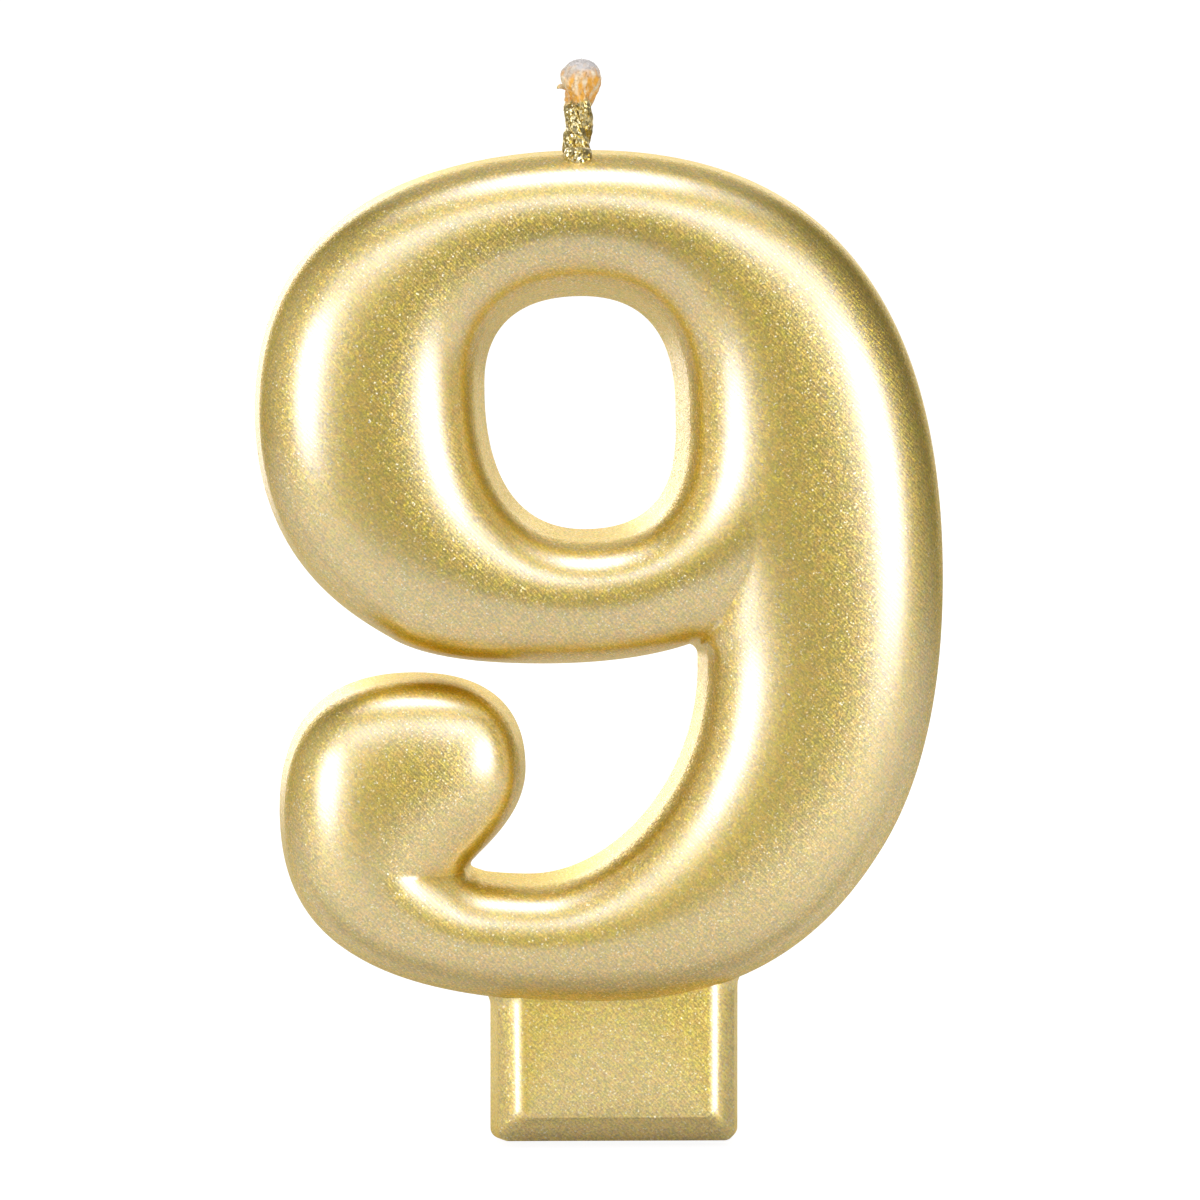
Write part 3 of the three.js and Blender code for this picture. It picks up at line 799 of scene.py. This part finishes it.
# %% Soft boxes
def box_at(name, azimuth_degrees, elevation_degrees, distance, width, height, radiance):
    """An area lamp seen from the candle's middle at that direction, and turned towards it. Its power follows from
    radiance = power / (pi * area)."""
    a, e = math.radians(azimuth_degrees), math.radians(elevation_degrees)
    middle = Vector((0, 0, 0.045))
    data = bpy.data.lights.new(name, "AREA")
    data.shape = "RECTANGLE"
    data.size, data.size_y, data.energy = width, height, radiance * math.pi * width * height
    data.color = (0.95, 0.98, 1.26)
    lamp = bpy.data.objects.new(name, data)
    away = Vector((math.sin(a) * math.cos(e), -math.cos(a) * math.cos(e), math.sin(e)))
    lamp.location = middle + away * distance
    lamp.rotation_euler = away.to_track_quat("Z", "Y").to_euler()
    bpy.context.scene.collection.objects.link(lamp)


# name, azimuth to the right, elevation, distance, width and height in metres, radiance
for row in [
    ("left box", -45, 6, 0.55, 0.17, 0.27, 5.6),
    ("left wide box", -38, 5, 0.56, 0.30, 0.28, 0.7),
    ("right box", 43, 6, 0.55, 0.20, 0.28, 5.3),
    ("right wide box", 40, 5, 0.56, 0.42, 0.28, 0.6),
    ("upper left box", -30, 32, 0.57, 0.40, 0.20, 1.0),
    ("upper right box", 30, 32, 0.57, 0.42, 0.20, 1.7),
    ("back left box", -162, 10, 0.60, 0.16, 0.46, 3.6),
    ("back right box", 162, 10, 0.60, 0.14, 0.46, 0.7),
    ("back top box", 180, 24, 0.60, 0.40, 0.14, 1.1),
    ("ceiling", 180, 60, 0.60, 0.60, 0.34, 0.4),
    ("front top box", 0, 38, 0.58, 0.60, 0.12, 1.7),
    ("top box", 0, 74, 0.50, 0.20, 0.13, 5.8),
    ("wide top box", 2, 74, 0.51, 0.58, 0.13, 1.3),
]:
    box_at(*row)
print("lamps:", len(bpy.data.lights))

# %% [markdown]
# The world is dim from the front and brighter from behind and from the left, and only the camera sees it white. The
# table is pale, with a darker strip under the tab: painted shade, which the tab's sloping band reflects. For the
# camera it glows as well, so that it ends in the same white as the world and keeps the candle's shadow.

# %% World and ground
world = bpy.data.worlds.new("white studio")
world.use_nodes = True
bpy.context.scene.world = world
tree = world.node_tree
background = tree.nodes["Background"]
tint = colour_mix(tree, (1, 0.93, 0.70), (1, 1, 1))
direction = add(tree, "ShaderNodeTexCoord")
parts = add(tree, "ShaderNodeSeparateXYZ")
from_behind = ranged(tree, 0.6, 0.85, 0.0, 1.1)
to_the_left = ranged(tree, -0.5, -0.9, 0.15, 0.62)
rays = add(tree, "ShaderNodeLightPath")
brighter = add(tree, "ShaderNodeMath", operation="MAXIMUM")
strength = add(tree, "ShaderNodeMath", operation="MAXIMUM")
wire(tree, [
    (direction, "Generated", parts, 0), (parts, 1, from_behind, "Value"), (parts, 0, to_the_left, "Value"),
    (from_behind, 0, brighter, 0), (to_the_left, 0, brighter, 1), (brighter, 0, strength, 0),
    (rays, "Is Camera Ray", strength, 1), (strength, 0, background, "Strength"),
    (rays, "Is Camera Ray", tint, "Factor"), (tint, "Result", background, "Color"),
])

ground_mesh = bpy.data.meshes.new("white_table")
ground_mesh.from_pydata([(-4, -4, 0), (4, -4, 0), (4, 4, 0), (-4, 4, 0)], [], [(0, 1, 2, 3)])
ground = bpy.data.objects.new("white_table", ground_mesh)
bpy.context.scene.collection.objects.link(ground)
table_material = bpy.data.materials.new("white table")
table_material.use_nodes = True
tree = table_material.node_tree
table_shader = tree.nodes["Principled BSDF"]
table_shader.inputs["Roughness"].default_value = 0.9
place = add(tree, "ShaderNodeNewGeometry")
spot = add(tree, "ShaderNodeSeparateXYZ")
near_edge = ranged(tree, -0.15, -0.12, 0.10, 0.92)
# painted shade: the table is darker in a strip centred 6.5 mm in front of the middle, which the tab's sloping band
# reflects
from_strip = add(tree, "ShaderNodeMath", operation="ADD")
from_strip.inputs[1].default_value = 0.0065
off_strip = add(tree, "ShaderNodeMath", operation="ABSOLUTE")
painted_shade_ramp = ranged(tree, 0.0035, 0.0075, 0.46, 0.92)
table_colour_with_painted_shade = add(tree, "ShaderNodeMath", operation="MINIMUM")
wire(tree, [
    (place, "Position", spot, 0), (spot, 1, near_edge, "Value"), (spot, 1, from_strip, 0),
    (from_strip, 0, off_strip, 0), (off_strip, 0, painted_shade_ramp, "Value"), (near_edge, 0, table_colour_with_painted_shade, 0),
    (painted_shade_ramp, 0, table_colour_with_painted_shade, 1), (table_colour_with_painted_shade, 0, table_shader, "Base Color"),
])
glow = add(tree, "ShaderNodeEmission", Strength=1.2)
blend_in = add(tree, "ShaderNodeMixShader")
rays = add(tree, "ShaderNodeLightPath")
share = add(tree, "ShaderNodeMath", operation="MULTIPLY")
reach = add(tree, "ShaderNodeVectorMath", operation="LENGTH")
far = ranged(tree, 0.04, 0.30, 0.78, 1.0)
wire(tree, [
    (place, "Position", reach, 0), (reach, "Value", far, "Value"), (rays, "Is Camera Ray", share, 0),
    (far, 0, share, 1), (share, 0, blend_in, 0), (table_shader, 0, blend_in, 1), (glow, 0, blend_in, 2),
    (blend_in, 0, tree.nodes["Material Output"], "Surface"),
])
ground_mesh.materials.append(table_material)
bpy.context.scene.view_settings.view_transform = "Standard"
